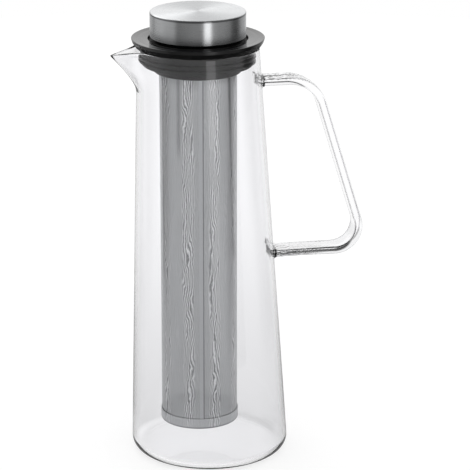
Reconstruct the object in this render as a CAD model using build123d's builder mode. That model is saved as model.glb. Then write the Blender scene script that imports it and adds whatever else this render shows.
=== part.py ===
from build123d import *
import math
import os

# A glass carafe with a lift-out lid and a mesh filter that hangs from it.
# Millimetres, +Z up, origin at the centre of the standing face, handle towards +X, pouring lip towards -X.

# Glass jug
body_height = 270.0
base_radius = 50.8
rim_radius = 38.85
wall = 2.0
floor_thickness = 4.5
base_corner = 8.0
inner_corner = 6.0
lean = 6.6
rim_edge_radius = 0.6

# Pouring lip, lengths counted out from the round wall and depths down from the rim
lip_foot = 27.0
lip_knee = 13.5
knee_length = 8.3
knee_tip_radius = 6.0
lip_length = 21.4
lip_tip_radius = 3.2
lip_drop_length = 17.4
lip_drop = 3.9

# Handle strap
strap_width = 16.0
strap_thickness = 5.5
strap_edge_radius = 1.6
handle_top = 246.3
handle_bottom = 131.5
handle_top_reach = 75.1
handle_bottom_reach = 110.1
handle_top_bend = 24.0
handle_bottom_bend = 16.0
weld_depth = 1.4

# Fits
seat_gap = 0.3
seal_gap = 0.3
socket_gap = 0.3
spigot_gap = 0.35
o_ring_gap = 0.1

# Lid body, heights counted up from the rim
flange_overhang = 3.35
flange_rise = 5.7
flange_edge = 2.3
flange_edge_draft = 0.6
seat_width = 2.6
dish_depth = 0.5
dish_edge = 0.7
groove_gap = 1.2
groove_depth = 1.7
web_thickness = 3.2
neck_room = 3.45
neck_wall = 2.0
neck_depth = 9.5

# Silicone sleeve, its shoulder counted down from the rim and its lips up from the end of the neck
sleeve_thickness = 1.6
lip_thickness = 1.2
lip_root = 2.0
shoulder_top = 1.1
shoulder_bottom = 3.9
lower_lip_rise = 0.8
lip_spacing = 3.1

# Plug base
plug_inset = 0.4
plug_thickness = 2.0
skirt_wall = 2.0
skirt_height = 5.5
socket_wall = 1.95
socket_depth = 4.4
spigot_depth = 8.5
spigot_wall = 2.2
o_ring_section = 1.8
o_ring_depth = 6.0

# Steel cap and its core
cap_radius = 30.4
cap_height = 15.9
cap_lift = 6.6
cap_wall = 0.8
cap_edge_radius = 1.0
core_stem_inset = 2.0
core_stem_height = 3.5
core_wall = 2.0
core_floor = 3.0
boss_radius = 5.0
boss_height = 9.0

# Centre screw
screw_radius = 2.0
screw_end_gap = 2.5
screw_hole_gap = 0.2
screw_head_radius = 3.8
screw_head_height = 2.4
screw_socket_flats = 2.5
screw_socket_depth = 1.4

# Filter
filter_radius = 24.75
mesh_thickness = 0.4
filter_bottom = 20.7
cup_height = 7.0
cup_wall = 0.4
cup_floor = 0.6
collar_height = 4.6
collar_wall = 0.6
collar_lip = 0.5
collar_top_gap = 0.3
seam_width = 3.0
seam_thickness = 0.3
seam_angle = -96.0


def taper(z):
    """Share of the way from the top of the bottom corner to the rim."""
    return (z - base_corner) / (body_height - base_corner)


def wall_radius(z):
    """Outside radius of the jug at height z."""
    return base_radius + (rim_radius - base_radius) * taper(z)


def wall_centre(z):
    """X of the centre of the jug's round section at height z."""
    return -lean * max(taper(z), 0.0)


# The mouth, the lid and the filter share this axis, which stands forward of the base by the lean.
mouth_axis = Axis((-lean, 0, 0), (0, 0, 1))
mouth_plane = Plane(origin=(-lean, 0, 0), x_dir=(1, 0, 0), z_dir=(0, -1, 0))

lip_foot_height = body_height - lip_foot
knee_height = body_height - lip_knee
lip_drop_start = rim_radius + lip_length - lip_drop_length


def at_angle(centre_x, radius, angle):
    """Point on a circle, with angle 0 towards the pouring lip."""
    turn = math.radians(180.0 - angle)
    return (centre_x + radius * math.cos(turn), radius * math.sin(turn))


def round_outline(z, inset):
    """Circle of the jug at height z, cut at four places, as the lip's outlines are."""
    centre, radius = wall_centre(z), wall_radius(z) - inset
    front = math.degrees(math.asin(lip_tip_radius / rim_radius))
    back = math.degrees(math.acos((rim_radius - lip_tip_radius) / (rim_radius + lip_length - lip_tip_radius)))
    ThreePointArc(*[at_angle(centre, radius, a) for a in (-front, 0, front)])
    ThreePointArc(*[at_angle(centre, radius, a) for a in (front, (front + back) / 2, back)])
    ThreePointArc(*[at_angle(centre, radius, a) for a in (back, 180, 360 - back)])
    ThreePointArc(*[at_angle(centre, radius, a) for a in (-back, -(front + back) / 2, -front)])


def lip_outline(z, length, tip_radius, inset):
    """Outline of the jug through the lip: the round wall, two straight sides that touch it and the round tip."""
    centre, radius = wall_centre(z), wall_radius(z)
    reach = radius + length - tip_radius
    spread = math.degrees(math.acos((radius - tip_radius) / reach))
    tip_arc = [at_angle(centre - reach, tip_radius - inset, a) for a in (-spread, 0, spread)]
    wall_arc = [at_angle(centre, radius - inset, a) for a in (spread, 180, 360 - spread)]
    ThreePointArc(*tip_arc)
    Line(tip_arc[2], wall_arc[0])
    ThreePointArc(*wall_arc)
    Line(wall_arc[2], tip_arc[0])


def jug_shape(inset, bottom, corner):
    """Solid of the jug's outside, or of its inside when inset by the wall."""
    start = bottom + corner
    foot_radius = wall_radius(max(start, base_corner)) - inset
    foot_centre = wall_centre(start)
    foot_plane = Plane(origin=(foot_centre, 0, 0), x_dir=(1, 0, 0), z_dir=(0, -1, 0))
    with BuildPart() as shape:
        with BuildSketch(foot_plane):
            with BuildLine():
                Line((0, bottom), (foot_radius - corner, bottom))
                CenterArc((foot_radius - corner, start), corner, -90, 90)
                Polyline((foot_radius, start), (0, start), (0, bottom))
            make_face()
        revolve(axis=Axis((foot_centre, 0, 0), (0, 0, 1)))
        for z in (start, lip_foot_height):
            with BuildSketch(Plane.XY.offset(z)):
                with BuildLine():
                    round_outline(z, inset)
                make_face()
        with BuildSketch(Plane.XY.offset(knee_height)):
            with BuildLine():
                lip_outline(knee_height, knee_length, knee_tip_radius, inset)
            make_face()
        with BuildSketch(Plane.XY.offset(body_height)):
            with BuildLine():
                lip_outline(body_height, lip_length, lip_tip_radius, inset)
            make_face()
        loft(ruled=True)
    return shape.part


# Jug: outside less inside, with a rounded rim and the tip of the lip cut down to a sloping edge
lip_slope = math.degrees(math.atan(lip_drop / lip_drop_length))
drop_plane = Plane(origin=(-lean - lip_drop_start, 0, body_height), z_dir=(0, 0, 1)).rotated((0, -lip_slope, 0))
with BuildPart() as glass_body:
    add(jug_shape(0.0, 0.0, base_corner))
    add(jug_shape(wall, floor_thickness, inner_corner), mode=Mode.SUBTRACT)
    fillet(glass_body.faces().sort_by(Axis.Z)[-1].edges(), radius=rim_edge_radius)
    with BuildSketch(drop_plane):
        with Locations((-lip_length, 0)):
            Rectangle(2 * lip_length, 2 * rim_radius)
    extrude(amount=lip_length, mode=Mode.SUBTRACT)

# Handle: a flat strap swept along two bends, its ends sunk into the wall where they are fused
strap_path = [
    (wall_centre(handle_top) + wall_radius(handle_top) - weld_depth, handle_top),
    (handle_top_reach - lean, handle_top),
    (handle_bottom_reach - lean, handle_bottom),
    (wall_centre(handle_bottom) + wall_radius(handle_bottom) - weld_depth, handle_bottom),
]
with BuildPart() as glass_handle:
    with BuildLine(Plane.XZ) as strap_line:
        FilletPolyline(*strap_path, radius=[handle_top_bend, handle_bottom_bend])
    with BuildSketch(Plane(origin=(strap_path[0][0], 0, handle_top), x_dir=(0, 1, 0), z_dir=(1, 0, 0))):
        RectangleRounded(strap_width, strap_thickness, strap_edge_radius)
    sweep(path=strap_line.wires()[0])

# Radii of the lid, from the glass that it covers and enters and from the cap that stands in it
flange_radius = rim_radius + flange_overhang
neck_radius = rim_radius - wall - neck_room
sleeve_radius = neck_radius + sleeve_thickness
seal_radius = rim_radius - wall - seal_gap
plug_radius = sleeve_radius - plug_inset
groove_radius = cap_radius + groove_gap

# Heights of the lid
seat = body_height + seat_gap
flange_top = body_height + flange_rise
groove_floor = flange_top - dish_depth - groove_depth
web_bottom = groove_floor - web_thickness
neck_bottom = body_height - neck_depth
plug_bottom = neck_bottom - plug_thickness

# Lid body: dish, web and neck tube in one moulding
with BuildPart() as lid_body:
    with BuildSketch(mouth_plane):
        with BuildLine():
            Polyline(
                (screw_radius + screw_hole_gap, web_bottom),
                (neck_radius - neck_wall, web_bottom),
                (neck_radius - neck_wall, neck_bottom),
                (neck_radius, neck_bottom),
                (neck_radius, seat),
                (rim_radius - wall + seat_width, seat),
                (flange_radius - flange_edge_draft, flange_top - flange_edge),
                (flange_radius, flange_top),
                (flange_radius - dish_edge, flange_top),
            )
            ThreePointArc(
                (flange_radius - dish_edge, flange_top),
                ((flange_radius + groove_radius) / 2, flange_top - 0.75 * dish_depth),
                (groove_radius, flange_top - dish_depth),
            )
            Polyline(
                (groove_radius, flange_top - dish_depth),
                (groove_radius, groove_floor),
                (screw_radius + screw_hole_gap, groove_floor),
                (screw_radius + screw_hole_gap, web_bottom),
            )
        make_face()
    revolve(axis=mouth_axis)

# Silicone sleeve: a shoulder under the flange and two thin lips
lower_lip = neck_bottom + lower_lip_rise
middle_lip = lower_lip + lip_spacing


def lip_profile(middle):
    """Thin lip, thicker at its root, centred at a height."""
    return [
        (sleeve_radius, middle - lip_root / 2),
        (seal_radius, middle - lip_thickness / 2),
        (seal_radius, middle + lip_thickness / 2),
        (sleeve_radius, middle + lip_root / 2),
    ]


with BuildPart() as lip_seal:
    with BuildSketch(mouth_plane):
        with BuildLine():
            Polyline(
                (neck_radius, neck_bottom),
                (sleeve_radius, neck_bottom),
                *lip_profile(lower_lip),
                *lip_profile(middle_lip),
                (sleeve_radius, body_height - shoulder_bottom),
                (seal_radius, body_height - shoulder_bottom),
                (seal_radius, body_height - shoulder_top),
                (sleeve_radius, seat),
                (neck_radius, seat),
                close=True,
            )
        make_face()
    revolve(axis=mouth_axis)

# Plug base: skirt in the neck tube, step under the sleeve, socket ring and spigot for the filter
socket_inner = filter_radius + collar_wall + socket_gap
socket_radius = socket_inner + socket_wall
spigot_radius = filter_radius - mesh_thickness - spigot_gap
o_ring_outer = filter_radius - mesh_thickness - o_ring_gap
o_ring_height = plug_bottom - o_ring_depth
with BuildPart() as plug_base:
    with BuildSketch(mouth_plane):
        with BuildLine():
            Polyline(
                (0, plug_bottom),
                (spigot_radius - spigot_wall, plug_bottom),
                (spigot_radius - spigot_wall, plug_bottom - spigot_depth),
                (spigot_radius, plug_bottom - spigot_depth),
                (spigot_radius, o_ring_height - o_ring_section / 2),
                (o_ring_outer - o_ring_section, o_ring_height - o_ring_section / 2),
                (o_ring_outer - o_ring_section, o_ring_height + o_ring_section / 2),
                (spigot_radius, o_ring_height + o_ring_section / 2),
                (spigot_radius, plug_bottom),
                (socket_inner, plug_bottom),
                (socket_inner, plug_bottom - socket_depth),
                (socket_radius, plug_bottom - socket_depth),
                (socket_radius, plug_bottom),
                (plug_radius, plug_bottom),
                (plug_radius, neck_bottom),
                (neck_radius - neck_wall, neck_bottom),
                (neck_radius - neck_wall, neck_bottom + skirt_height),
                (neck_radius - neck_wall - skirt_wall, neck_bottom + skirt_height),
                (neck_radius - neck_wall - skirt_wall, neck_bottom),
                (0, neck_bottom),
                close=True,
            )
        make_face()
    revolve(axis=mouth_axis)

with BuildPart() as filter_o_ring:
    with BuildSketch(mouth_plane):
        with Locations((o_ring_outer - o_ring_section / 2, o_ring_height)):
            Circle(o_ring_section / 2)
    revolve(axis=mouth_axis)

# Steel cap: a drawn shell with a small rounded edge
cap_bottom = body_height + cap_lift
cap_top = cap_bottom + cap_height
with BuildPart() as steel_cap:
    with BuildSketch(Plane(origin=(-lean, 0, cap_bottom))):
        Circle(cap_radius)
    extrude(amount=cap_height)
    fillet(steel_cap.edges().group_by(Axis.Z)[-1], radius=cap_edge_radius)
    offset(amount=-cap_wall, openings=steel_cap.faces().sort_by(Axis.Z)[0])

# Cap core: a cup that fills the cap and stands on the web, with a boss for the screw
core_shoulder = groove_floor + core_stem_height
core_radius = cap_radius - cap_wall
core_stem_radius = cap_radius - core_stem_inset
core_top = cap_top - cap_wall - cap_edge_radius
with BuildPart() as cap_core:
    with BuildSketch(mouth_plane):
        with BuildLine():
            Polyline(
                (screw_radius, groove_floor),
                (core_stem_radius, groove_floor),
                (core_stem_radius, core_shoulder),
                (core_radius, core_shoulder),
                (core_radius, core_top),
                (core_radius - core_wall, core_top),
                (core_radius - core_wall, core_shoulder),
                (core_stem_radius - core_wall, groove_floor + core_floor),
                (boss_radius, groove_floor + core_floor),
                (boss_radius, groove_floor + core_floor + boss_height),
                (screw_radius, groove_floor + core_floor + boss_height),
                close=True,
            )
        make_face()
    revolve(axis=mouth_axis)

# Centre screw: driven from inside the neck tube up into the core's boss
screw_length = web_thickness + core_floor + boss_height - screw_end_gap
with BuildPart() as centre_screw:
    with BuildSketch(Plane(origin=(-lean, 0, web_bottom - screw_head_height))):
        Circle(screw_head_radius)
    extrude(amount=screw_head_height)
    with BuildSketch(Plane(origin=(-lean, 0, web_bottom))):
        Circle(screw_radius)
    extrude(amount=screw_length)
    with BuildSketch(Plane(origin=(-lean, 0, web_bottom - screw_head_height))):
        RegularPolygon(screw_socket_flats / 2, 6, major_radius=False)
    extrude(amount=screw_socket_depth, mode=Mode.SUBTRACT)

# Filter: cup, mesh, collar and seam
cup_top = filter_bottom + cup_height
collar_top = plug_bottom - collar_top_gap
collar_bottom = collar_top - collar_height
mesh_inner = filter_radius - mesh_thickness
with BuildPart() as bottom_cup:
    with BuildSketch(mouth_plane):
        with BuildLine():
            Polyline(
                (0, filter_bottom),
                (filter_radius + cup_wall, filter_bottom),
                (filter_radius + cup_wall, cup_top),
                (filter_radius, cup_top),
                (filter_radius, filter_bottom + cup_floor),
                (0, filter_bottom + cup_floor),
                close=True,
            )
        make_face()
    revolve(axis=mouth_axis)

with BuildPart() as mesh_tube:
    with BuildSketch(Plane(origin=(-lean, 0, filter_bottom + cup_floor))):
        Circle(filter_radius)
        Circle(mesh_inner, mode=Mode.SUBTRACT)
    extrude(amount=collar_top - collar_lip - filter_bottom - cup_floor)

with BuildPart() as filter_collar:
    with BuildSketch(mouth_plane):
        with BuildLine():
            Polyline(
                (filter_radius, collar_bottom),
                (filter_radius + collar_wall, collar_bottom),
                (filter_radius + collar_wall, collar_top),
                (mesh_inner, collar_top),
                (mesh_inner, collar_top - collar_lip),
                (filter_radius, collar_top - collar_lip),
                close=True,
            )
        make_face()
    revolve(axis=mouth_axis)

seam_half_angle = math.degrees(seam_width / 2 / filter_radius)
with BuildPart() as seam_strip:
    with BuildSketch(Plane(origin=(-lean, 0, cup_top))):
        with BuildLine():
            inside = CenterArc((0, 0), filter_radius, seam_angle - seam_half_angle, 2 * seam_half_angle)
            outside = CenterArc(
                (0, 0), filter_radius + seam_thickness, seam_angle - seam_half_angle, 2 * seam_half_angle
            )
            Line(inside @ 0, outside @ 0)
            Line(inside @ 1, outside @ 1)
        make_face()
    extrude(amount=collar_bottom - cup_top)

pieces = {
    "glass_body": glass_body,
    "glass_handle": glass_handle,
    "steel_cap": steel_cap,
    "cap_core": cap_core,
    "centre_screw": centre_screw,
    "lid_body": lid_body,
    "lip_seal": lip_seal,
    "plug_base": plug_base,
    "filter_o_ring": filter_o_ring,
    "filter_collar": filter_collar,
    "mesh_tube": mesh_tube,
    "seam_strip": seam_strip,
    "bottom_cup": bottom_cup,
}
os.makedirs("parts", exist_ok=True)
for name, piece in pieces.items():
    piece.part.label = name
    export_step(piece.part, f"parts/{name}.step")
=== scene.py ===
import math

import bmesh
import bpy
from mathutils import Euler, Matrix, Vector

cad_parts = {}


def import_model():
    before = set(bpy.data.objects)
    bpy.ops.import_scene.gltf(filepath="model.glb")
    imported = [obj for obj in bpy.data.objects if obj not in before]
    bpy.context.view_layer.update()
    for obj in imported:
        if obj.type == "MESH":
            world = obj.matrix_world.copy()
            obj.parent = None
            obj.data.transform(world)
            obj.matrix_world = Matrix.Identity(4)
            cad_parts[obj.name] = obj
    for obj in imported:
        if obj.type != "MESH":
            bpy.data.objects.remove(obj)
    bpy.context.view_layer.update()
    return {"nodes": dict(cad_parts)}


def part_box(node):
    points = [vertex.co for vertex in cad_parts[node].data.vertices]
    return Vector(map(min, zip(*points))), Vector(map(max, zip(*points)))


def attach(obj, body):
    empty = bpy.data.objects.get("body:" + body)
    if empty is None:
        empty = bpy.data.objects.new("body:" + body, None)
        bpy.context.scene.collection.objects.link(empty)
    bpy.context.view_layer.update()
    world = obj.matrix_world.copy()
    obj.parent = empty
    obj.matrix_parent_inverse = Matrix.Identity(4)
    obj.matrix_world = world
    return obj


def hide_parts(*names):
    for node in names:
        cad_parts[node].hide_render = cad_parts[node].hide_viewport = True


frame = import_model()

MM = 0.001

# Places taken from the frame
body_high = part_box("glass_body")[1]
cap_low, cap_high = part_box("steel_cap")
dish_low, dish_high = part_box("lid_body")
seal_low, seal_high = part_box("lip_seal")
plug_low, plug_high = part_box("plug_base")
mesh_low, mesh_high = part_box("mesh_tube")
seam_low, seam_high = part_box("seam_strip")
cup_low, cup_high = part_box("bottom_cup")
handle_low, handle_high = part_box("glass_handle")

MOUTH_X = (cap_low.x + cap_high.x) / 2
RIM_Z = body_high.z
BASE_RADIUS = body_high.x
CAP_RADIUS = (cap_high.x - cap_low.x) / 2
DISH_RADIUS = (dish_high.x - dish_low.x) / 2
DISH_TOP = dish_high.z
SEAL_RADIUS = (seal_high.x - seal_low.x) / 2
PLUG_RADIUS = (plug_high.x - plug_low.x) / 2
MESH_RADIUS = (mesh_high.x - mesh_low.x) / 2
CUP_RADIUS = (cup_high.x - cup_low.x) / 2
SEAM_ANGLE = math.atan2((seam_low.y + seam_high.y) / 2, (seam_low.x + seam_high.x) / 2 - MOUTH_X)

# Jug, in metres
RIM_RADIUS = 38.85 * MM
WALL = 2.0 * MM
FLOOR = 2.6 * MM
BASE_CORNER = 8.0 * MM
BASE_HOLLOW = 0.3 * MM
INNER_CORNER = 6.0 * MM
RIM_ROUND = WALL / 2
LIP_FOOT = 29.0 * MM
LIP_LENGTH = 21.0 * MM
LIP_EASE = 0.6
LIP_SPREAD = math.radians(3.5)
LIP_FOOT_SPREAD = math.radians(9.0)
LIP_ROUND = math.radians(1.0)
LIP_FOOT_ROUND = math.radians(12.0)
LIP_THINNING = 0.45
LIP_DROP = 3.6 * MM
LIP_DROP_LENGTH = 23.0 * MM
LIP_TIP_SHARE = 1 - LIP_DROP / LIP_FOOT

# Handle strap
STRAP_WIDTH = 16.0 * MM
STRAP_THICKNESS = 5.5 * MM
STRAP_EDGE = 0.9 * MM
STRAP_CROWN = 0.5 * MM
RIPPLE = 0.25 * MM
STREAK_WIDTH = 3.6 * MM
STREAK_LENGTH = 9.0 * MM
STREAK_REACH = 14.0 * MM
DIMPLE_SIZE = 2.6 * MM
DIMPLE_PLACE = 19.0 * MM
DIMPLE_REACH = 13.0 * MM
HANDLE_TOP = handle_high.z - STRAP_THICKNESS / 2
HANDLE_BOTTOM = handle_low.z + STRAP_THICKNESS / 2
HANDLE_TOP_X = MOUTH_X + 75.1 * MM
HANDLE_BOTTOM_X = MOUTH_X + 110.09 * MM
HANDLE_TOP_BEND = 24.0 * MM
HANDLE_BOTTOM_BEND = 16.0 * MM
WELD_SINK = 1.4 * MM
WELD_FLARE = 0.7 * MM
WELD_FLARE_POWER = 2.6
WELD_LENGTH = 2.4 * MM

# Points and steps of the glass meshes
SEGMENTS = 224
HOLLOW_STEPS = 20
CORNER_STEPS = 24
WALL_STEPS = 30
LIP_STEPS = 26
RIM_STEPS = 10
FLOOR_SHARES = (0.85, 0.6, 0.3)
STATION_STEP = 0.5 * MM
TOP_STATIONS = 36
BOTTOM_STATIONS = 79
BEND_STEPS = 48
STRAIGHT_STEPS = 12
FACE_POINTS = 20
EDGE_STEPS = 10


def taper(z):
    """Share of the way from the top of the bottom corner to the rim."""
    return (z - BASE_CORNER) / (RIM_Z - BASE_CORNER)


def wall_radius(z):
    """Outside radius of the jug's round section."""
    return BASE_RADIUS + (RIM_RADIUS - BASE_RADIUS) * taper(z)


def wall_centre(z):
    """X of the centre of the jug's round section."""
    return MOUTH_X * max(taper(z), 0.0)


# Mesh tools
def piece_from(name, bm, material, body):
    """Turns a bmesh into a smooth shaded piece that rides on a body."""
    mesh = bpy.data.meshes.new(name)
    bmesh.ops.recalc_face_normals(bm, faces=bm.faces)
    for face in bm.faces:
        face.smooth = True
    bm.to_mesh(mesh)
    bm.free()
    piece = bpy.data.objects.new(name, mesh)
    bpy.context.scene.collection.objects.link(piece)
    mesh.materials.append(material)
    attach(piece, body)
    return piece


def sharp_by_angle(piece, degrees):
    """Keeps edges crisp where the surface turns by more than an angle."""
    mesh = piece.data
    bm = bmesh.new()
    bm.from_mesh(mesh)
    limit = math.radians(degrees)
    for edge in bm.edges:
        if len(edge.link_faces) == 2:
            edge.smooth = edge.calc_face_angle(0.0) < limit
    bm.to_mesh(mesh)
    bm.free()


def skin(bm, rows, closed=True):
    """Quads between rows of vertices. A row of one vertex is a pole."""
    for lower, upper in zip(rows, rows[1:]):
        count = max(len(lower), len(upper))
        for i in range(count if closed else count - 1):
            j = (i + 1) % count
            corners = [
                lower[i % len(lower)],
                lower[j % len(lower)],
                upper[j % len(upper)],
                upper[i % len(upper)],
            ]
            unique = list(dict.fromkeys(corners))
            if len(unique) > 2:
                bm.faces.new(unique)


def turned(arm, angle):
    """Flat vector turned about the origin."""
    x = arm.x * math.cos(angle) - arm.y * math.sin(angle)
    y = arm.x * math.sin(angle) + arm.y * math.cos(angle)
    return Vector((x, y))


def rounded(corners, steps=4):
    """Outline with its corners rounded. Each corner is (radius, height, rounding)."""
    outline = []
    count = len(corners)
    for i, (r, z, rounding) in enumerate(corners):
        here = Vector((r, z))
        if rounding <= 0:
            outline.append(here)
            continue
        back = Vector(corners[i - 1][:2]) - here
        ahead = Vector(corners[(i + 1) % count][:2]) - here
        half = back.angle(ahead) / 2
        reach = min(rounding / math.tan(half), 0.49 * back.length, 0.49 * ahead.length)
        radius = reach * math.tan(half)
        centre = here + (back.normalized() + ahead.normalized()).normalized() * radius / math.sin(half)
        start = here + back.normalized() * reach - centre
        sweep = start.angle_signed(here + ahead.normalized() * reach - centre)
        for k in range(steps + 1):
            outline.append(centre + turned(start, -sweep * k / steps))
    return outline


def lathe(name, corners, material, body, steps=4):
    """Piece turned about the mouth's axis from a closed outline with rounded corners."""
    bm = bmesh.new()
    rows = []
    for point in rounded(corners, steps):
        if point.x < 1e-7:
            rows.append([bm.verts.new((MOUTH_X, 0.0, point.y))])
            continue
        ring = []
        for i in range(SEGMENTS):
            angle = 2 * math.pi * i / SEGMENTS
            x = MOUTH_X + point.x * math.cos(angle)
            y = point.x * math.sin(angle)
            ring.append(bm.verts.new((x, y, point.y)))
        rows.append(ring)
    rows.append(rows[0])
    skin(bm, rows)
    piece = piece_from(name, bm, material, body)
    sharp_by_angle(piece, 32)
    return piece


# Node tools
def new_material(name):
    material = bpy.data.materials.new(name)
    material.use_nodes = True
    tree = material.node_tree
    return material, tree, tree.nodes["Principled BSDF"]


def link(tree, source, target):
    tree.links.new(source, target)


def maths(tree, operation, first, second=None, third=None):
    """Math node, its inputs numbers or sockets."""
    node = tree.nodes.new("ShaderNodeMath")
    node.operation = operation
    for socket, value in zip(node.inputs, (first, second, third)):
        if value is None:
            continue
        if isinstance(value, (int, float)):
            socket.default_value = value
        else:
            link(tree, value, socket)
    return node.outputs[0]


def remap(tree, value, from_low, from_high, to_low, to_high, smooth=False):
    node = tree.nodes.new("ShaderNodeMapRange")
    node.interpolation_type = "SMOOTHSTEP" if smooth else "LINEAR"
    link(tree, value, node.inputs["Value"])
    node.inputs["From Min"].default_value = from_low
    node.inputs["From Max"].default_value = from_high
    node.inputs["To Min"].default_value = to_low
    node.inputs["To Max"].default_value = to_high
    return node.outputs["Result"]


def combine(tree, x, y, z):
    node = tree.nodes.new("ShaderNodeCombineXYZ")
    for socket, value in zip(node.inputs, (x, y, z)):
        if isinstance(value, (int, float)):
            socket.default_value = value
        else:
            link(tree, value, socket)
    return node.outputs[0]


def noise(tree, vector, scale, detail=2.0, roughness=0.5, distortion=0.0):
    node = tree.nodes.new("ShaderNodeTexNoise")
    link(tree, vector, node.inputs["Vector"])
    node.inputs["Scale"].default_value = scale
    node.inputs["Detail"].default_value = detail
    node.inputs["Roughness"].default_value = roughness
    node.inputs["Distortion"].default_value = distortion
    return node.outputs["Fac"]


def wall_noise(tree, angle, height, around, along, scale=1.0):
    """Noise on a round wall, its marks set by how often it changes round the wall and along it."""
    turn = maths(tree, "MULTIPLY", angle, around)
    rise = maths(tree, "MULTIPLY", height, along)
    return noise(tree, combine(tree, turn, 0.0, rise), scale)


def mixed(tree, factor, low, high):
    """Colour between two colours by a factor."""
    node = tree.nodes.new("ShaderNodeMix")
    node.data_type = "RGBA"
    link(tree, factor, node.inputs["Factor"])
    for socket, colour in ((node.inputs["A"], low), (node.inputs["B"], high)):
        if isinstance(colour, (tuple, list)):
            socket.default_value = (*colour, 1.0)
        else:
            link(tree, colour, socket)
    return node.outputs["Result"]


def bumped(tree, height, distance, strength=1.0):
    node = tree.nodes.new("ShaderNodeBump")
    node.inputs["Distance"].default_value = distance
    node.inputs["Strength"].default_value = strength
    link(tree, height, node.inputs["Height"])
    return node.outputs["Normal"]


def place(tree):
    """Object coordinates and the angle, radius and height about the mouth's axis."""
    coordinates = tree.nodes.new("ShaderNodeTexCoord")
    split = tree.nodes.new("ShaderNodeSeparateXYZ")
    link(tree, coordinates.outputs["Object"], split.inputs[0])
    x = maths(tree, "SUBTRACT", split.outputs["X"], MOUTH_X)
    y = split.outputs["Y"]
    angle = maths(tree, "ARCTAN2", y, x)
    squares = maths(tree, "ADD", maths(tree, "MULTIPLY", x, x), maths(tree, "MULTIPLY", y, y))
    radius = maths(tree, "SQRT", squares)
    return coordinates.outputs["Object"], angle, radius, split.outputs["Z"]


def turned_tangent(tree, shader):
    """Lets the shader's grooves run round the mouth's axis."""
    tangent = tree.nodes.new("ShaderNodeTangent")
    tangent.direction_type = "RADIAL"
    tangent.axis = "Z"
    shader.inputs["Anisotropic Rotation"].default_value = 0.25
    link(tree, tangent.outputs[0], shader.inputs["Tangent"])


# Materials
# Depth of the cap's painted dark line under its top edge, and the colour of its painted dark reflections
EDGE_LINE = 1.0 * MM
PAINTED_DARK_REFLECTION = (0.12, 0.12, 0.125)
WEAVE_PITCH = 0.42 * MM
WIRE_SHARE = 0.5
WIRE_COVER = (0.56, 0.86)
WIRE_BLUR = 0.06
GRAIN_PITCH = 1.3 * MM
# Colour of the dark grain lines, also used for painted shade on the mesh and the cup
DARK_WIRE_AND_SHADE = (0.06, 0.06, 0.065)
BRIGHT_WIRE = (0.92, 0.93, 0.94)
FOLD_WIDTH = math.radians(6.0)
FOLD_FADE = 8.0 * MM

# Painted shade lines along the mesh's kinks: degrees from the seam at the top and at the foot, height of the
# foot, strength
PAINTED_FOLD_SHADES = (
    (-68.0, -68.0, 120.0 * MM, 0.8),
    (-34.0, -34.0, 205.0 * MM, 0.5),
    (47.0, 59.0, 138.0 * MM, 0.85),
)


def clear_glass():
    """Clear blown glass: colourless, with the faint waviness of a hand-finished wall."""
    material, tree, shader = new_material("clear_glass")
    position, angle, radius, height = place(tree)
    shader.inputs["Base Color"].default_value = (0.972, 0.972, 0.982, 1.0)
    shader.inputs["Transmission Weight"].default_value = 1.0
    shader.inputs["IOR"].default_value = 1.47
    waves = noise(tree, position, 38.0, detail=1.0)
    smears = wall_noise(tree, angle, height, 2.0, 9.0, 3.0)
    link(tree, remap(tree, smears, 0.55, 0.8, 0.0, 0.012, smooth=True), shader.inputs["Roughness"])
    link(tree, bumped(tree, waves, 0.02 * MM), shader.inputs["Normal"])
    return material


def brushed_steel(name, colour, roughness, anisotropy, streak_scale=2600.0):
    """Stainless steel turned or brushed round the mouth's axis, with fine uneven grooves."""
    material, tree, shader = new_material(name)
    position, angle, radius, height = place(tree)
    across = combine(
        tree,
        maths(tree, "MULTIPLY", angle, 1.6),
        maths(tree, "MULTIPLY", radius, streak_scale),
        maths(tree, "MULTIPLY", height, streak_scale),
    )
    grooves = noise(tree, across, 1.0, detail=3.0, roughness=0.6)
    broad = noise(tree, position, 60.0, detail=2.0)
    low = tuple(c * 0.9 for c in colour)
    high = tuple(min(c * 1.08, 1.0) for c in colour)
    link(tree, mixed(tree, remap(tree, grooves, 0.3, 0.7, 0.0, 1.0), low, high), shader.inputs["Base Color"])
    shader.inputs["Metallic"].default_value = 1.0
    groove_wear = remap(tree, grooves, 0.3, 0.7, -0.03, 0.03)
    broad_wear = remap(tree, broad, 0.3, 0.7, -0.02, 0.02)
    wear = maths(tree, "ADD", groove_wear, broad_wear)
    link(tree, maths(tree, "ADD", wear, roughness), shader.inputs["Roughness"])
    shader.inputs["Anisotropic"].default_value = anisotropy
    turned_tangent(tree, shader)
    link(tree, bumped(tree, grooves, 0.004 * MM), shader.inputs["Normal"])
    return material, tree, shader


def cap_steel():
    """Steel of the cap: brushed, with painted dark reflections, a line under its top edge and a darkening
    towards its foot.
    """
    material, tree, shader = brushed_steel("cap_steel", (0.62, 0.63, 0.64), 0.29, 0.92)
    height = place(tree)[3]
    below_edge = maths(tree, "SUBTRACT", cap_high.z, height)
    from_line = maths(tree, "ABSOLUTE", maths(tree, "SUBTRACT", below_edge, EDGE_LINE))
    # Painted dark reflection: a dark line just under the cap's top edge, standing in for dark surroundings
    # mirrored in its rounded edge.
    line = remap(tree, from_line, 0.2 * MM, 0.7 * MM, 0.8, 0.0)
    # Painted dark reflection: the side darkens towards its foot, where the black dish below would be
    # mirrored.
    foot = remap(tree, height, cap_low.z, cap_low.z + 6.0 * MM, 0.25, 0.0, smooth=True)
    base_colour = shader.inputs["Base Color"]
    plain = base_colour.links[0].from_socket
    link(tree, mixed(tree, maths(tree, "MAXIMUM", line, foot), plain, PAINTED_DARK_REFLECTION), base_colour)
    return material


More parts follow.
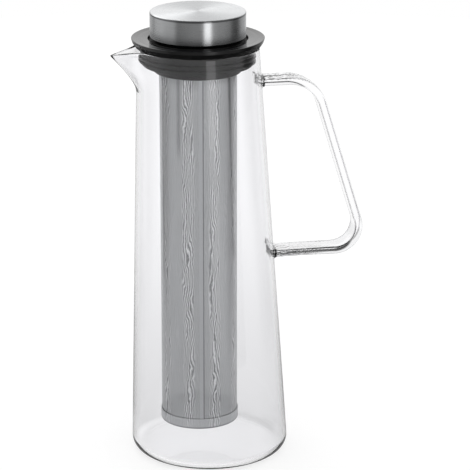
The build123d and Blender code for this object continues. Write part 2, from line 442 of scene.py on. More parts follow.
def plastic(name, colour, roughness, grain=0.004, specular=0.5, mottle=0.12):
    """Moulded plastic or silicone with a fine grain and slightly uneven gloss."""
    material, tree, shader = new_material(name)
    position, angle, radius, height = place(tree)
    fine = noise(tree, position, 2400.0, detail=3.0)
    broad = noise(tree, position, 70.0, detail=2.0)
    low = tuple(c * (1 - mottle) for c in colour)
    high = tuple(c * (1 + mottle) for c in colour)
    link(tree, mixed(tree, broad, low, high), shader.inputs["Base Color"])
    fine_gloss = remap(tree, fine, 0.3, 0.7, -0.03, 0.03)
    broad_gloss = remap(tree, broad, 0.3, 0.7, -0.03, 0.03)
    gloss = maths(tree, "ADD", fine_gloss, broad_gloss)
    link(tree, maths(tree, "ADD", gloss, roughness), shader.inputs["Roughness"])
    shader.inputs["Specular IOR Level"].default_value = specular
    link(tree, bumped(tree, fine, grain * MM), shader.inputs["Normal"])
    return material


def mesh_grain(tree, angle, height):
    """Bright and dark wavy lines that run down the mesh in bundles, where its warp wires crowd together."""
    turn = maths(tree, "SUBTRACT", angle, SEAM_ANGLE)
    arc_length = maths(tree, "MULTIPLY", turn, MESH_RADIUS / GRAIN_PITCH)
    slow = wall_noise(tree, turn, height, 2.2, 30.0)
    quick = wall_noise(tree, turn, height, 9.0, 260.0)
    phase = maths(tree, "MULTIPLY_ADD", slow, 9.0, arc_length)
    phase = maths(tree, "MULTIPLY_ADD", quick, 1.1, phase)
    wave = maths(tree, "SINE", maths(tree, "MULTIPLY", phase, 2 * math.pi))
    bundle = maths(tree, "COSINE", maths(tree, "MULTIPLY_ADD", turn, 9.0, math.pi))
    wide = wall_noise(tree, turn, height, 1.0, 14.0, 2.0)
    bundle = maths(tree, "ADD", bundle, maths(tree, "SUBTRACT", wide, 0.5))
    bundle = remap(tree, bundle, -0.2, 0.7, 0.1, 1.0, smooth=True)
    crest = remap(tree, wave, 0.1, 0.9, 0.0, 1.0)
    trough = remap(tree, wave, -0.9, -0.3, 1.0, 0.0)
    return maths(tree, "MULTIPLY", crest, bundle), maths(tree, "MULTIPLY", trough, bundle)


def painted_fold_shade(tree, angle, height):
    """Painted shade: dark straight lines along the kinks that the rolling left in the mesh, fading down from
    the top.
    """
    marks = 0.0
    for top, foot, foot_height, strength in PAINTED_FOLD_SHADES:
        foot_angle = SEAM_ANGLE + math.radians(foot)
        top_angle = SEAM_ANGLE + math.radians(top)
        line = remap(tree, height, foot_height, mesh_high.z, foot_angle, top_angle)
        away = maths(tree, "ABSOLUTE", maths(tree, "SUBTRACT", angle, line))
        mark = remap(tree, away, 0.0, FOLD_WIDTH, strength, 0.0, smooth=True)
        fade = remap(tree, height, foot_height - FOLD_FADE, foot_height + FOLD_FADE, 0.0, 1.0, smooth=True)
        marks = maths(tree, "MAXIMUM", maths(tree, "MULTIPLY", mark, fade), marks)
    return marks


def weave_pattern(tree, position, angle, height):
    """Cover and relief of a plain weave, slightly irregular as real mesh is."""
    wander = noise(tree, position, 22.0, detail=2.0)
    drift = maths(tree, "MULTIPLY", maths(tree, "SUBTRACT", wander, 0.5), 1.2 * WEAVE_PITCH)
    along = maths(tree, "ADD", maths(tree, "MULTIPLY", angle, MESH_RADIUS), drift)
    up = maths(tree, "ADD", height, maths(tree, "MULTIPLY", drift, 0.6))
    wires = []
    waves = []
    for distance in (along, up):
        count = maths(tree, "DIVIDE", distance, WEAVE_PITCH)
        offset = maths(tree, "ABSOLUTE", maths(tree, "SUBTRACT", maths(tree, "FRACT", count), 0.5))
        wires.append(remap(tree, offset, WIRE_SHARE / 2 + WIRE_BLUR, WIRE_SHARE / 2 - WIRE_BLUR, 0.0, 1.0))
        waves.append(maths(tree, "SINE", maths(tree, "MULTIPLY", count, math.pi)))
    weave = maths(tree, "MAXIMUM", wires[0], wires[1])
    over = maths(tree, "MULTIPLY", waves[0], waves[1])
    relief = maths(tree, "MULTIPLY", weave, remap(tree, over, -1.0, 1.0, 0.55, 1.0))
    return weave, relief


def woven_mesh():
    """Fine steel mesh, open between the wires, with its grain and painted shade along its kinks."""
    material, tree, shader = new_material("woven_mesh")
    position, angle, radius, height = place(tree)
    weave, relief = weave_pattern(tree, position, angle, height)
    tarnish = noise(tree, position, 120.0, detail=3.0)
    bright, dark = mesh_grain(tree, angle, height)
    plain = mixed(tree, tarnish, (0.45, 0.46, 0.47), (0.58, 0.59, 0.6))
    # Painted shade along the kinks darkens the colour and also closes the mesh's openings there.
    fold_shade = painted_fold_shade(tree, angle, height)
    shade = maths(tree, "MAXIMUM", maths(tree, "MULTIPLY", dark, 0.6), fold_shade)
    shaded = mixed(tree, shade, plain, DARK_WIRE_AND_SHADE)
    link(tree, mixed(tree, bright, shaded, BRIGHT_WIRE), shader.inputs["Base Color"])
    shader.inputs["Metallic"].default_value = 1.0
    link(tree, remap(tree, tarnish, 0.3, 0.7, 0.34, 0.44), shader.inputs["Roughness"])
    cover = maths(tree, "MAXIMUM", remap(tree, weave, 0.0, 1.0, *WIRE_COVER), fold_shade)
    link(tree, cover, shader.inputs["Alpha"])
    shader.inputs["Anisotropic"].default_value = 0.8
    turned_tangent(tree, shader)
    link(tree, bumped(tree, relief, 0.03 * MM, 0.6), shader.inputs["Normal"])
    return material


def seam_steel():
    """Lap of the mesh, pressed flat, with the dark step of its free edge."""
    material, tree, shader = new_material("seam_steel")
    position, angle, radius, height = place(tree)
    across = maths(tree, "MULTIPLY", maths(tree, "SUBTRACT", angle, SEAM_ANGLE), MESH_RADIUS / MM)
    ribs = wall_noise(tree, across, height, 3.0, 900.0)
    half = (seam_high.x - seam_low.x) / 2 / MM
    edge = remap(tree, across, half - 0.75, half - 0.6, 0.0, 1.0, smooth=True)
    plain = mixed(tree, ribs, (0.42, 0.43, 0.44), (0.5, 0.51, 0.52))
    link(tree, mixed(tree, edge, plain, (0.2, 0.2, 0.21)), shader.inputs["Base Color"])
    shader.inputs["Metallic"].default_value = 1.0
    link(tree, remap(tree, ribs, 0.3, 0.7, 0.36, 0.44), shader.inputs["Roughness"])
    link(tree, bumped(tree, ribs, 0.02 * MM), shader.inputs["Normal"])
    return material


def cup_steel():
    """Pressed steel of the filter's end: fine vertical drawing marks outside, the mesh's wavy lines, painted
    shade along its bottom edge and painted light on its floor.
    """
    material, tree, shader = new_material("cup_steel")
    position, angle, radius, height = place(tree)
    marks = wall_noise(tree, angle, height, 42.0, 90.0)
    painted_light_on_floor = remap(tree, radius, CUP_RADIUS - 1.6 * MM, CUP_RADIUS - 1.0 * MM, 1.0, 0.0)
    plain = mixed(tree, marks, (0.44, 0.45, 0.46), (0.56, 0.57, 0.58))
    bright, dark = mesh_grain(tree, angle, height)
    plain = mixed(tree, maths(tree, "MULTIPLY", dark, 0.3), plain, DARK_WIRE_AND_SHADE)
    plain = mixed(tree, maths(tree, "MULTIPLY", bright, 0.5), plain, BRIGHT_WIRE)
    # Painted shade: the lowest band of the cup darkens towards its bottom edge.
    foot = remap(tree, height, cup_low.z + 0.4 * MM, cup_low.z + 1.6 * MM, 0.75, 0.0, smooth=True)
    plain = mixed(tree, foot, plain, DARK_WIRE_AND_SHADE)
    # Painted light: the cup's floor, top and underside, is near white so that it looks lit.
    link(tree, mixed(tree, painted_light_on_floor, plain, (0.9, 0.91, 0.92)), shader.inputs["Base Color"])
    shader.inputs["Metallic"].default_value = 1.0
    link(tree, remap(tree, marks, 0.3, 0.7, 0.36, 0.46), shader.inputs["Roughness"])
    link(tree, bumped(tree, marks, 0.03 * MM), shader.inputs["Normal"])
    return material


CLEAR_GLASS = clear_glass()
CAP_STEEL = cap_steel()
FILTER_STEEL = brushed_steel("filter_steel", (0.55, 0.56, 0.57), 0.36, 0.3)[0]
SCREW_STEEL = brushed_steel("screw_steel", (0.6, 0.61, 0.62), 0.3, 0.2)[0]
BLACK_PLASTIC = plastic("black_plastic", (0.004, 0.004, 0.0042), 0.11)
# Duller, darker copy of the black plastic: partly a matt finish, partly painted shade
MATT_SHADED_PLASTIC = plastic("matt_shaded_plastic", (0.002, 0.002, 0.0021), 0.5, specular=0.12)
SMOKED_PLASTIC = plastic("smoked_plastic", (0.005, 0.005, 0.0048), 0.3, specular=0.2)
SILICONE = plastic("silicone", (0.006, 0.006, 0.0058), 0.36, grain=0.008, specular=0.2)
WOVEN_MESH = woven_mesh()
SEAM_STEEL = seam_steel()
CUP_STEEL = cup_steel()


# Glass jug and handle
def jug_point(angle, z, inset):
    """Point of the jug at a height, inset from its outside. Angle 0 looks towards the lip."""
    radius, depth = wall_radius(z), inset
    share = (z - (RIM_Z - LIP_FOOT)) / LIP_FOOT
    if share > 0:
        up = min(share / LIP_TIP_SHARE, 1.0)
        spread = LIP_FOOT_SPREAD + (LIP_SPREAD - LIP_FOOT_SPREAD) * up
        rounding = LIP_FOOT_ROUND + (LIP_ROUND - LIP_FOOT_ROUND) * up**2
        nose = math.exp(-(math.hypot(angle, rounding) - rounding) / spread / 2)
        pull = LIP_LENGTH * share**2 * (1 + LIP_EASE) / (share + LIP_EASE) * nose
        side = math.hypot(angle, LIP_ROUND)
        slope = pull / spread / 2 * side / math.hypot(side, rounding)
        radius += pull
        depth *= (1 - LIP_THINNING * nose * up**2) * math.hypot(radius, slope) / radius
    reach = radius - depth
    return (wall_centre(z) - reach * math.cos(angle), reach * math.sin(angle), z)


def rim_height(angle):
    """Height of the rim, level round the mouth and drooping towards the tip of the lip."""
    x, y, z = jug_point(angle, RIM_Z, 0.0)
    start = RIM_RADIUS + LIP_LENGTH - LIP_DROP_LENGTH
    share = max((MOUTH_X - x) - start, 0.0) / LIP_DROP_LENGTH
    return RIM_Z - LIP_DROP * share


def jug_angles():
    """Angles of the columns, close together at the tip of the lip."""
    angles = []
    for start, end, step in ((0.0, 6.0, 0.25), (6.0, 20.0, 0.5), (20.0, 44.0, 1.0), (44.0, 180.0, 1.6)):
        count = round((end - start) / step)
        angles += [math.radians(start + step * i) for i in range(count)]
    half = angles[1:]
    return angles + [math.pi] + [2 * math.pi - a for a in reversed(half)]


def arc(first, last, steps, skip_first=False):
    start = 1 if skip_first else 0
    return [first + (last - first) * i / steps for i in range(start, steps + 1)]


def jug_rows(bm):
    """Rows of vertices from the centre of the bottom over the rim to the centre of the floor."""
    angles = jug_angles()
    heights = {a: rim_height(a if a <= math.pi else a - 2 * math.pi) for a in angles}

    def signed(angle):
        return angle if angle <= math.pi else angle - 2 * math.pi

    def ring(height_at, inset):
        return [bm.verts.new(jug_point(signed(a), height_at(a), inset)) for a in angles]

    def flat_ring(radius, z, centre=0.0):
        return [bm.verts.new((centre - radius * math.cos(a), radius * math.sin(a), z)) for a in angles]

    foot = wall_radius(BASE_CORNER)
    flat = foot - BASE_CORNER
    rows = [[bm.verts.new((0.0, 0.0, BASE_HOLLOW))]]
    for share in arc(0.0, 1.0, HOLLOW_STEPS, skip_first=True):
        rows.append(flat_ring(flat * share, BASE_HOLLOW * math.cos(share * math.pi / 2) ** 2))
    for turn in arc(0.0, math.pi / 2, CORNER_STEPS, skip_first=True):
        rows.append(flat_ring(flat + BASE_CORNER * math.sin(turn), BASE_CORNER * (1 - math.cos(turn))))
    lip_start = RIM_Z - LIP_FOOT
    for z in arc(BASE_CORNER, lip_start, WALL_STEPS, skip_first=True):
        rows.append(ring(lambda a, z=z: z, 0.0))
    for share in arc(0.0, 1.0, LIP_STEPS, skip_first=True):
        rows.append(ring(lambda a, s=share: lip_start + (heights[a] - RIM_ROUND - lip_start) * s, 0.0))
    for turn in arc(0.0, math.pi, RIM_STEPS, skip_first=True):
        rise, inset = RIM_ROUND * math.sin(turn), RIM_ROUND * (1 - math.cos(turn))
        rows.append(ring(lambda a, r=rise: heights[a] - RIM_ROUND + r, inset))
    for share in arc(1.0, 0.0, LIP_STEPS, skip_first=True):
        rows.append(ring(lambda a, s=share: lip_start + (heights[a] - RIM_ROUND - lip_start) * s, WALL))
    inner_start = FLOOR + INNER_CORNER
    for z in arc(lip_start, inner_start, WALL_STEPS, skip_first=True):
        rows.append(ring(lambda a, z=z: z, WALL))
    inner = wall_radius(inner_start) - WALL
    centre = wall_centre(inner_start)
    for turn in arc(math.pi / 2, 0.0, CORNER_STEPS, skip_first=True):
        radius = inner - INNER_CORNER * (1 - math.sin(turn))
        rows.append(flat_ring(radius, FLOOR + INNER_CORNER * (1 - math.cos(turn)), centre))
    for share in FLOOR_SHARES:
        rows.append(flat_ring((inner - INNER_CORNER) * share, FLOOR, centre))
    rows.append([bm.verts.new((centre, 0.0, FLOOR))])
    return rows


def strap_ripple(along, across, from_weld):
    """Depth of the flame's marks on the outer face: streaks, then dimples, then smooth glass."""
    lean = 0.35 * math.sin(2 * math.pi * along / STREAK_LENGTH)
    streak = math.sin(2 * math.pi * (across / STREAK_WIDTH + lean))
    dimple = math.sin(2 * math.pi * along / DIMPLE_SIZE) * math.cos(2 * math.pi * across / DIMPLE_SIZE + 1.1)
    streaked = math.exp(-((max(from_weld, 0.0) / STREAK_REACH) ** 2))
    dimpled = math.exp(-(((from_weld - DIMPLE_PLACE) / DIMPLE_REACH) ** 2)) * (1 - streaked)
    return RIPPLE * (streaked * (1 + streak) + dimpled * (1 + dimple))


def strap_section(grow):
    """Section of the strap as (across, through) points: flat inside, crowned outside, grown at the welds."""
    half_width = STRAP_WIDTH / 2 + grow
    half_thickness = STRAP_THICKNESS / 2 + grow
    edge = STRAP_EDGE + grow
    flat = half_width - edge
    points = []
    for side_x, side_y, start in ((1, 1, 0), (-1, 1, 90), (-1, -1, 180), (1, -1, 270)):
        drop = STRAP_CROWN if side_y > 0 else 0.0
        for k in range(EDGE_STEPS + 1):
            turn = math.radians(start + 90 * k / EDGE_STEPS)
            through = side_y * (half_thickness - edge) - drop + edge * math.sin(turn)
            points.append((side_x * flat + edge * math.cos(turn), through))
        if start in (0, 180):
            for k in range(1, FACE_POINTS):
                share = 1 - 2 * k / FACE_POINTS
                points.append((side_x * flat * share, side_y * half_thickness - drop * share**2))
    return points


def bend(before, here, after, radius):
    """Centre, first spoke and sweep of the round bend at a corner."""
    back, ahead = (before - here).normalized(), (after - here).normalized()
    half = back.angle(ahead) / 2
    reach = radius / math.tan(half)
    centre = here + (back + ahead).normalized() * radius / math.sin(half)
    spoke = here + back * reach - centre
    return centre, spoke, -spoke.angle_signed(here + ahead * reach - centre)


def weld_corner(z):
    """End of the strap's middle line, sunk in the jug's wall."""
    return Vector((wall_centre(z) + wall_radius(z) - WELD_SINK, z))


def strap_path():
    """Stations along the middle line of the strap, from the top weld to the bottom one."""
    top_weld, bottom_weld = weld_corner(HANDLE_TOP), weld_corner(HANDLE_BOTTOM)
    top_corner = Vector((HANDLE_TOP_X, HANDLE_TOP))
    bottom_corner = Vector((HANDLE_BOTTOM_X, HANDLE_BOTTOM))
    bends = (
        bend(top_weld, top_corner, bottom_corner, HANDLE_TOP_BEND),
        bend(top_corner, bottom_corner, bottom_weld, HANDLE_BOTTOM_BEND),
    )
    arcs = []
    for centre, spoke, sweep in bends:
        arcs.append([centre + turned(spoke, sweep * k / BEND_STEPS) for k in range(BEND_STEPS + 1)])
    top_arc, bottom_arc = arcs
    stations = [top_weld + Vector((STATION_STEP * k, 0)) for k in range(TOP_STATIONS)]
    stations += top_arc
    stations += [top_arc[-1].lerp(bottom_arc[0], k / STRAIGHT_STEPS) for k in range(1, STRAIGHT_STEPS)]
    stations += bottom_arc
    stations += [bottom_weld + Vector((STATION_STEP * k, 0)) for k in reversed(range(BOTTOM_STATIONS))]
    return stations


def strap_mesh():
    """The strap as one closed bmesh, its outer face marked by the flame."""
    bm = bmesh.new()
    stations = strap_path()
    lengths = [0.0]
    for a, b in zip(stations, stations[1:]):
        lengths.append(lengths[-1] + (b - a).length)
    rows = []
    for i, here in enumerate(stations):
        before, after = stations[max(i - 1, 0)], stations[min(i + 1, len(stations) - 1)]
        along = (after - before).normalized()
        out = Vector((-along.y, along.x))
        from_weld = min(lengths[i], lengths[-1] - lengths[i]) - WELD_SINK
        near = max(0.0, 1.0 - max(from_weld, -WELD_SINK) / WELD_LENGTH)
        row = []
        for across, through in strap_section(WELD_FLARE * near**WELD_FLARE_POWER):
            if through > 0:
                through -= strap_ripple(lengths[i], across, from_weld)
            place_2d = here + out * through
            row.append(bm.verts.new((place_2d.x, across, place_2d.y)))
        rows.append(row)
    skin(bm, rows)
    bm.faces.new(rows[0])
    bm.faces.new(reversed(rows[-1]))
    return bm


def glass_jug():
    """Jug and handle in one melt: the strap's flared ends are joined to the wall."""
    bm = bmesh.new()
    skin(bm, jug_rows(bm))
    jug = piece_from("carafe_glass", bm, CLEAR_GLASS, "carafe")
    strap = piece_from("strap_tool", strap_mesh(), CLEAR_GLASS, "carafe")
    join = jug.modifiers.new("weld", "BOOLEAN")
    join.operation = "UNION"
    join.solver = "EXACT"
    join.object = strap
    graph = bpy.context.evaluated_depsgraph_get()
    joined = bpy.data.meshes.new_from_object(jug.evaluated_get(graph))
    jug.modifiers.clear()
    jug.data = joined
    bpy.data.objects.remove(strap)
    for polygon in joined.polygons:
        polygon.use_smooth = True
    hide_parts("glass_body", "glass_handle")
    return jug


glass_jug()


# Lid, from the frame's boxes and the sizes of its steps
CAP_WALL = 0.8 * MM


def steel_cap():
    inner = CAP_RADIUS - CAP_WALL
    top = cap_high.z
    cap = lathe(
        "cap_shell",
        [
            (0.0, top, 0.0),
            (CAP_RADIUS, top, 1.0 * MM),
            (CAP_RADIUS, cap_low.z, 0.25 * MM),
            (inner, cap_low.z, 0.25 * MM),
            (inner, top - CAP_WALL, 0.4 * MM),
            (0.0, top - CAP_WALL, 0.0),
        ],
        CAP_STEEL,
        "lid",
        steps=7,
    )
    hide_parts("steel_cap")


FLANGE_EDGE = 2.3 * MM
SEAT_Z = RIM_Z + 0.3 * MM
SEAT_RADIUS = 39.45 * MM
NECK_RADIUS = 33.4 * MM
NECK_WALL = 2.0 * MM
NECK_BOTTOM = RIM_Z - 9.5 * MM
GROOVE_RADIUS = CAP_RADIUS + 1.2 * MM
GROOVE_FLOOR = DISH_TOP - 2.2 * MM
WEB_BOTTOM = GROOVE_FLOOR - 3.2 * MM
HOLE_RADIUS = 2.2 * MM


def lid_dish():
    dish = lathe(
        "lid_dish",
        [
            (HOLE_RADIUS, WEB_BOTTOM, 0.0),
            (NECK_RADIUS - NECK_WALL, WEB_BOTTOM, 0.3 * MM),
            (NECK_RADIUS - NECK_WALL, NECK_BOTTOM, 0.0),
            (NECK_RADIUS, NECK_BOTTOM, 0.0),
            (NECK_RADIUS, SEAT_Z, 0.2 * MM),
            (SEAT_RADIUS, SEAT_Z, 0.5 * MM),
            (DISH_RADIUS - 0.6 * MM, DISH_TOP - FLANGE_EDGE, 0.7 * MM),
            (DISH_RADIUS, DISH_TOP - 0.1 * MM, 0.25 * MM),
            (DISH_RADIUS - 0.7 * MM, DISH_TOP, 0.25 * MM),
            (DISH_RADIUS - 4.2 * MM, DISH_TOP - 0.38 * MM, 3.0 * MM),
            (GROOVE_RADIUS, DISH_TOP - 0.5 * MM, 0.4 * MM),
            (GROOVE_RADIUS, GROOVE_FLOOR, 0.3 * MM),
            (HOLE_RADIUS, GROOVE_FLOOR, 0.0),
        ],
        BLACK_PLASTIC,
        "lid",
    )
    dish.data.materials.append(MATT_SHADED_PLASTIC)
    # Downward faces and the groove round the cap take the duller, darker copy: partly a matt finish, partly
    # painted shade where these faces lie in shade.
    for polygon in dish.data.polygons:
        x, y, z = polygon.center
        if polygon.normal.z < -0.3 or math.hypot(x - MOUTH_X, y) < GROOVE_RADIUS + 0.2 * MM:
            polygon.material_index = 1
    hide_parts("lid_body")


SLEEVE_RADIUS = NECK_RADIUS + 1.6 * MM
LIP_THICKNESS = 1.2 * MM
LIP_ROOT = 2.0 * MM


def seal_sleeve():
    """Silicone sleeve: a shoulder under the flange and two thin lips with rounded edges."""

    def lip(middle):
        return [
            (SLEEVE_RADIUS, middle - LIP_ROOT / 2, 0.35 * MM),
            (SEAL_RADIUS, middle - LIP_THICKNESS / 2, 0.5 * MM),
            (SEAL_RADIUS, middle + LIP_THICKNESS / 2, 0.5 * MM),
            (SLEEVE_RADIUS, middle + LIP_ROOT / 2, 0.35 * MM),
        ]

    lower = NECK_BOTTOM + 0.8 * MM
    sleeve = lathe(
        "seal_sleeve",
        [
            (NECK_RADIUS, NECK_BOTTOM, 0.0),
            (SLEEVE_RADIUS - 0.1 * MM, NECK_BOTTOM, 0.0),
            *lip(lower),
            *lip(lower + 3.1 * MM),
            (SLEEVE_RADIUS, RIM_Z - 3.9 * MM, 0.3 * MM),
            (SEAL_RADIUS, RIM_Z - 3.9 * MM, 0.6 * MM),
            (SEAL_RADIUS, RIM_Z - 1.1 * MM, 0.6 * MM),
            (SLEEVE_RADIUS, SEAT_Z, 0.2 * MM),
            (NECK_RADIUS, SEAT_Z, 0.0),
        ],
        SILICONE,
        "lid",
    )
    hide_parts("lip_seal")


PLUG_BOTTOM = NECK_BOTTOM - 2.0 * MM
SOCKET_INNER = 25.65 * MM
SOCKET_RADIUS = 27.6 * MM
SOCKET_DEPTH = 4.4 * MM
SPIGOT_RADIUS = 24.0 * MM
SPIGOT_WALL = 2.2 * MM
O_RING_RADIUS = 24.25 * MM
O_RING_SECTION = 1.8 * MM
O_RING_Z = PLUG_BOTTOM - 6.0 * MM
SKIRT_RADIUS = NECK_RADIUS - NECK_WALL
SKIRT_TOP = NECK_BOTTOM + 5.5 * MM


def plug_disc():
    """Plug under the neck: a stepped disc with the socket ring and the spigot for the filter."""
    groove = O_RING_RADIUS - O_RING_SECTION
    plug = lathe(
        "plug_disc",
        [
            (0.0, PLUG_BOTTOM, 0.0),
            (SPIGOT_RADIUS - SPIGOT_WALL, PLUG_BOTTOM, 0.4 * MM),
            (SPIGOT_RADIUS - SPIGOT_WALL, plug_low.z, 0.4 * MM),
            (SPIGOT_RADIUS, plug_low.z, 0.6 * MM),
            (SPIGOT_RADIUS, O_RING_Z - O_RING_SECTION / 2, 0.1 * MM),
            (groove, O_RING_Z - O_RING_SECTION / 2, 0.0),
            (groove, O_RING_Z + O_RING_SECTION / 2, 0.0),
            (SPIGOT_RADIUS, O_RING_Z + O_RING_SECTION / 2, 0.1 * MM),
            (SPIGOT_RADIUS, PLUG_BOTTOM, 0.2 * MM),
            (SOCKET_INNER, PLUG_BOTTOM, 0.2 * MM),
            (SOCKET_INNER, PLUG_BOTTOM - SOCKET_DEPTH, 0.4 * MM),
            (SOCKET_RADIUS, PLUG_BOTTOM - SOCKET_DEPTH, 0.9 * MM),
            (SOCKET_RADIUS, PLUG_BOTTOM, 0.5 * MM),
            (PLUG_RADIUS, PLUG_BOTTOM, 0.7 * MM),
            (PLUG_RADIUS, NECK_BOTTOM, 0.2 * MM),
            (SKIRT_RADIUS, NECK_BOTTOM, 0.0),
            (SKIRT_RADIUS, SKIRT_TOP, 0.3 * MM),
            (SKIRT_RADIUS - 2.0 * MM, SKIRT_TOP, 0.3 * MM),
            (SKIRT_RADIUS - 2.0 * MM, NECK_BOTTOM, 0.3 * MM),
            (0.0, NECK_BOTTOM, 0.0),
        ],
        SMOKED_PLASTIC,
        "lid",
    )
    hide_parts("plug_base")


steel_cap()
lid_dish()
seal_sleeve()
plug_disc()


# Filter
CUP_WALL = 0.4 * MM
CUP_FLOOR = 0.6 * MM


def pressed_cup():
    inner = CUP_RADIUS - CUP_WALL
    cup = lathe(
        "pressed_cup",
        [
            (0.0, cup_low.z + 0.3 * MM, 0.0),
            (CUP_RADIUS - 5.0 * MM, cup_low.z + 0.3 * MM, 1.0 * MM),
            (CUP_RADIUS - 3.8 * MM, cup_low.z, 0.6 * MM),
            (CUP_RADIUS, cup_low.z, 0.9 * MM),
            (CUP_RADIUS, cup_high.z, 0.15 * MM),
            (inner, cup_high.z, 0.15 * MM),
            (inner, cup_low.z + CUP_FLOOR, 0.5 * MM),
            (0.0, cup_low.z + CUP_FLOOR + 0.3 * MM, 0.0),
        ],
        CUP_STEEL,
        "filter",
    )
    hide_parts("bottom_cup")


def mesh_screen():
    """One sheet of woven mesh rolled into a tube, with the slight dents of real mesh."""
    bm = bmesh.new()
    rows = []
    columns, levels = 160, 60
    bottom, top = mesh_low.z, mesh_high.z
    for i in range(levels + 1):
        z = bottom + (top - bottom) * i / levels
        row = []
        for j in range(columns):
            angle = 2 * math.pi * j / columns
            middle = math.sin(math.pi * i / levels)
            dent = 0.09 * MM * middle * math.sin(3 * angle + 9 * z / 0.1) * math.sin(5 * angle - 4 * z / 0.1)
            radius = MESH_RADIUS - 0.12 * MM - abs(dent)
            row.append(bm.verts.new((MOUTH_X + radius * math.cos(angle), radius * math.sin(angle), z)))
        rows.append(row)
    skin(bm, rows)
    screen = piece_from("mesh_screen", bm, WOVEN_MESH, "filter")
    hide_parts("mesh_tube")


pressed_cup()
mesh_screen()

CARRIED_OVER = {
    "cap_core": BLACK_PLASTIC,
    "centre_screw": SCREW_STEEL,
    "filter_o_ring": SILICONE,
    "filter_collar": FILTER_STEEL,
    "seam_strip": SEAM_STEEL,
}
for node, material in CARRIED_OVER.items():
    node_object = frame["nodes"][node]
    node_object.data.materials.clear()
    node_object.data.materials.append(material)


# Studio
CAMERA_PLACE = Vector((-0.2777, -1.5361, 0.6394))
CAMERA_SIDE = math.atan2(CAMERA_PLACE.y, CAMERA_PLACE.x - MOUTH_X)

# Brightness of the studio as metal and glass mirror it, by angle to the right of the camera's side
MIRRORED_LOW = [
    (-180, 0.95),
    (-170, 0.9),
    (-163, 0.55),
    (-140, 0.42),
    (-128, 0.3),
    (-120, 0.5),
    (-95, 0.6),
    (-84, 0.52),
    (-60, 0.48),
    (-50, 0.2),
    (-42, 0.24),
    (-10, 0.33),
    (10, 0.35),
    (19, 1.1),
    (29, 1.1),
    (36, 0.5),
    (48, 0.36),
    (80, 0.27),
    (88, 0.14),
    (96, 0.07),
    (108, 0.06),
    (116, 0.2),
    (125, 0.38),
    (150, 0.52),
    (170, 0.9),
    (180, 0.95),
]
MIRRORED_HIGH = [
    (-180, 1.15),
    (-135, 1.1),
    (-110, 0.5),
    (-60, 0.5),
    (-44, 0.25),
    (12, 0.25),
    (60, 0.4),
    (90, 0.1),
    (120, 0.5),
    (150, 1.1),
    (180, 1.15),
]

# Brightness of what shows through the glass, by the same angle
SEEN_THROUGH = [
    (-180, 1.0),
    (-134, 1.0),
    (-124, 0.2),
    (-100, 0.2),
    (-90, 1.0),
    (90, 1.0),
    (100, 0.2),
    (124, 0.2),
    (134, 1.0),
    (180, 1.0),
]


def levels(tree, turn, stops):
    """Brightness that changes with the angle round the studio."""
    node = tree.nodes.new("ShaderNodeValToRGB")
    link(tree, turn, node.inputs["Fac"])
    elements = node.color_ramp.elements
    while len(elements) > 1:
        elements.remove(elements[-1])
    for index, (angle, level) in enumerate(stops):
        position = (angle + 180) / 360
        element = elements[0] if index == 0 else elements.new(position)
        element.position = position
        element.color = (level, level, level, 1.0)
    return node.outputs["Color"]


def choose(tree, factor, first, second):
    """Number between two numbers or sockets by a factor."""
    node = tree.nodes.new("ShaderNodeMix")
    node.data_type = "FLOAT"
    link(tree, factor, node.inputs["Factor"])
    for socket, value in ((node.inputs["A"], first), (node.inputs["B"], second)):
        if isinstance(value, (int, float)):
            socket.default_value = value
        else:
            link(tree, value, socket)
    return node.outputs["Result"]


def turn_from_camera(tree, angle):
    """Share of a turn from opposite the camera, so that the camera's side is at a half."""
    turn = maths(tree, "SUBTRACT", angle, CAMERA_SIDE)
    return maths(tree, "FRACT", maths(tree, "MULTIPLY_ADD", turn, 1 / (2 * math.pi), 0.5))


def reflected(tree, rays):
    """One for a ray mirrored by a surface, zero for one that went through glass."""
    return maths(tree, "SUBTRACT", rays.outputs["Is Glossy Ray"], rays.outputs["Is Transmission Ray"])


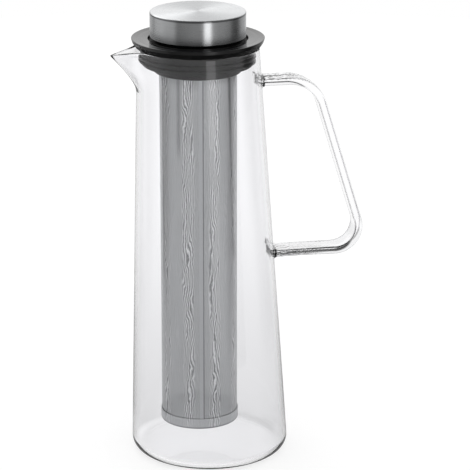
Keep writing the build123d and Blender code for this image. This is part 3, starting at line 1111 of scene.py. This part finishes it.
def floor_material():
    """Pale floor that shows white where it is lit and keeps the object's shadow."""
    material, tree, shader = new_material("studio_floor")
    nodes = tree.nodes
    nodes.remove(shader)
    output = nodes["Material Output"]
    matt = nodes.new("ShaderNodeBsdfDiffuse")
    matt.inputs["Color"].default_value = (0.36, 0.36, 0.36, 1.0)
    glow = nodes.new("ShaderNodeEmission")
    mirrored = nodes.new("ShaderNodeEmission")
    rays = nodes.new("ShaderNodeLightPath")
    position, angle, distance, height = place(tree)
    # Painted light and shade for rays through the glass: the floor shows dimmer near the jug than far off,
    # and brighter right under it, where the glass lets light down.
    seen_far = remap(tree, distance, 0.1, 0.6, 0.54, 0.72, smooth=True)
    painted_light_under_jug = remap(tree, distance, 0.045, 0.075, 0.82, 0.0, smooth=True)
    near = maths(tree, "MAXIMUM", seen_far, painted_light_under_jug)
    turn = turn_from_camera(tree, angle)
    beside = remap(tree, distance, 0.25, 0.4, 0.0, 1.0)
    beside = choose(tree, beside, 1.0, levels(tree, turn, SEEN_THROUGH))
    near = maths(tree, "MULTIPLY", near, beside)
    strength = maths(tree, "MULTIPLY", rays.outputs["Is Camera Ray"], 0.74)
    through = maths(tree, "MULTIPLY", rays.outputs["Is Transmission Ray"], near)
    strength = maths(tree, "ADD", strength, through)
    link(tree, strength, glow.inputs["Strength"])
    both = nodes.new("ShaderNodeAddShader")
    link(tree, matt.outputs[0], both.inputs[0])
    link(tree, glow.outputs[0], both.inputs[1])
    outer = remap(tree, distance, 0.1, 0.45, 0.0, 1.0, smooth=True)
    inner = remap(tree, distance, 0.06, 0.11, 0.5, 0.2, smooth=True)
    link(tree, choose(tree, outer, inner, levels(tree, turn, MIRRORED_LOW)), mirrored.inputs["Strength"])
    pick = nodes.new("ShaderNodeMixShader")
    link(tree, reflected(tree, rays), pick.inputs["Fac"])
    link(tree, both.outputs[0], pick.inputs[1])
    link(tree, mirrored.outputs[0], pick.inputs[2])
    link(tree, pick.outputs[0], output.inputs["Surface"])
    return material


def floor():
    """Round floor just under the object."""
    bm = bmesh.new()
    bmesh.ops.create_circle(bm, cap_ends=True, segments=96, radius=1.3)
    mesh = bpy.data.meshes.new("studio_floor")
    bm.to_mesh(mesh)
    bm.free()
    plate = bpy.data.objects.new("studio_floor", mesh)
    plate.location.z = -0.2 * MM
    mesh.materials.append(floor_material())
    bpy.context.scene.collection.objects.link(plate)


def world():
    """White surroundings behind the object, and a studio with darker sides in what mirrors it."""
    sky = bpy.data.worlds.new("studio")
    bpy.context.scene.world = sky
    sky.use_nodes = True
    tree = sky.node_tree
    background = tree.nodes["Background"]
    background.inputs["Color"].default_value = (1.0, 1.0, 1.0, 1.0)
    coordinates = tree.nodes.new("ShaderNodeTexCoord")
    split = tree.nodes.new("ShaderNodeSeparateXYZ")
    link(tree, coordinates.outputs["Generated"], split.inputs[0])
    x, y, rise = split.outputs["X"], split.outputs["Y"], split.outputs["Z"]
    turn = turn_from_camera(tree, maths(tree, "ARCTAN2", y, x))
    upper = remap(tree, rise, 0.0, 0.25, 0.0, 1.0, smooth=True)
    mirrored = choose(tree, upper, levels(tree, turn, MIRRORED_LOW), levels(tree, turn, MIRRORED_HIGH))
    forward = maths(tree, "MULTIPLY", y, math.sin(CAMERA_SIDE))
    forward = maths(tree, "MULTIPLY_ADD", x, math.cos(CAMERA_SIDE), forward)
    ceiling = maths(tree, "MULTIPLY_ADD", forward, 0.45, rise)
    ceiling = remap(tree, ceiling, 0.5, 0.85, 0.0, 1.0, smooth=True)
    mirrored = choose(tree, ceiling, mirrored, 0.08)
    above = remap(tree, rise, 0.4, 0.6, 0.0, 1.0, smooth=True)
    seen_level = maths(tree, "MULTIPLY", levels(tree, turn, SEEN_THROUGH), 0.95)
    seen_through = choose(tree, above, seen_level, 0.04)
    rays = tree.nodes.new("ShaderNodeLightPath")
    level = choose(tree, rays.outputs["Is Glossy Ray"], 0.8, mirrored)
    level = choose(tree, rays.outputs["Is Transmission Ray"], level, seen_through)
    level = choose(tree, rays.outputs["Is Camera Ray"], level, 1.0)
    link(tree, level, background.inputs["Strength"])


def lamp(name, place_at, target, size, radiance):
    """Soft area lamp of an even brightness, seen only in reflections."""
    data = bpy.data.lights.new(name, "AREA")
    data.shape = "RECTANGLE"
    data.size, data.size_y = size
    data.energy = radiance * math.pi * size[0] * size[1]
    light = bpy.data.objects.new(name, data)
    light.location = place_at
    light.rotation_euler = (Vector(target) - Vector(place_at)).to_track_quat("-Z", "Y").to_euler()
    light.visible_camera = False
    light.visible_transmission = False
    bpy.context.scene.collection.objects.link(light)


def beside_camera(degrees, distance, height):
    """Place at an angle to the right of the camera's side of the mouth's axis."""
    angle = CAMERA_SIDE + math.radians(degrees)
    return (MOUTH_X + distance * math.cos(angle), distance * math.sin(angle), height)


def camera():
    """Camera at the photograph's place."""
    data = bpy.data.cameras.new("camera")
    data.sensor_width = 36.0
    data.lens = 194.4
    seat = bpy.data.objects.new("camera", data)
    seat.location = CAMERA_PLACE
    seat.rotation_euler = Euler((math.radians(72.41), 0.0, math.radians(-10.865)))
    bpy.context.scene.collection.objects.link(seat)
    bpy.context.scene.camera = seat


floor()
world()
lamp("key", beside_camera(22.5, 1.2, 0.2), (MOUTH_X, 0.0, 0.28), (0.34, 1.1), 1.3)
lamp("back", (-0.3, 0.85, 0.95), (0.0, 0.0, 0.2), (0.8, 0.5), 1.0)
camera()

bpy.context.scene.view_settings.view_transform = "Standard"
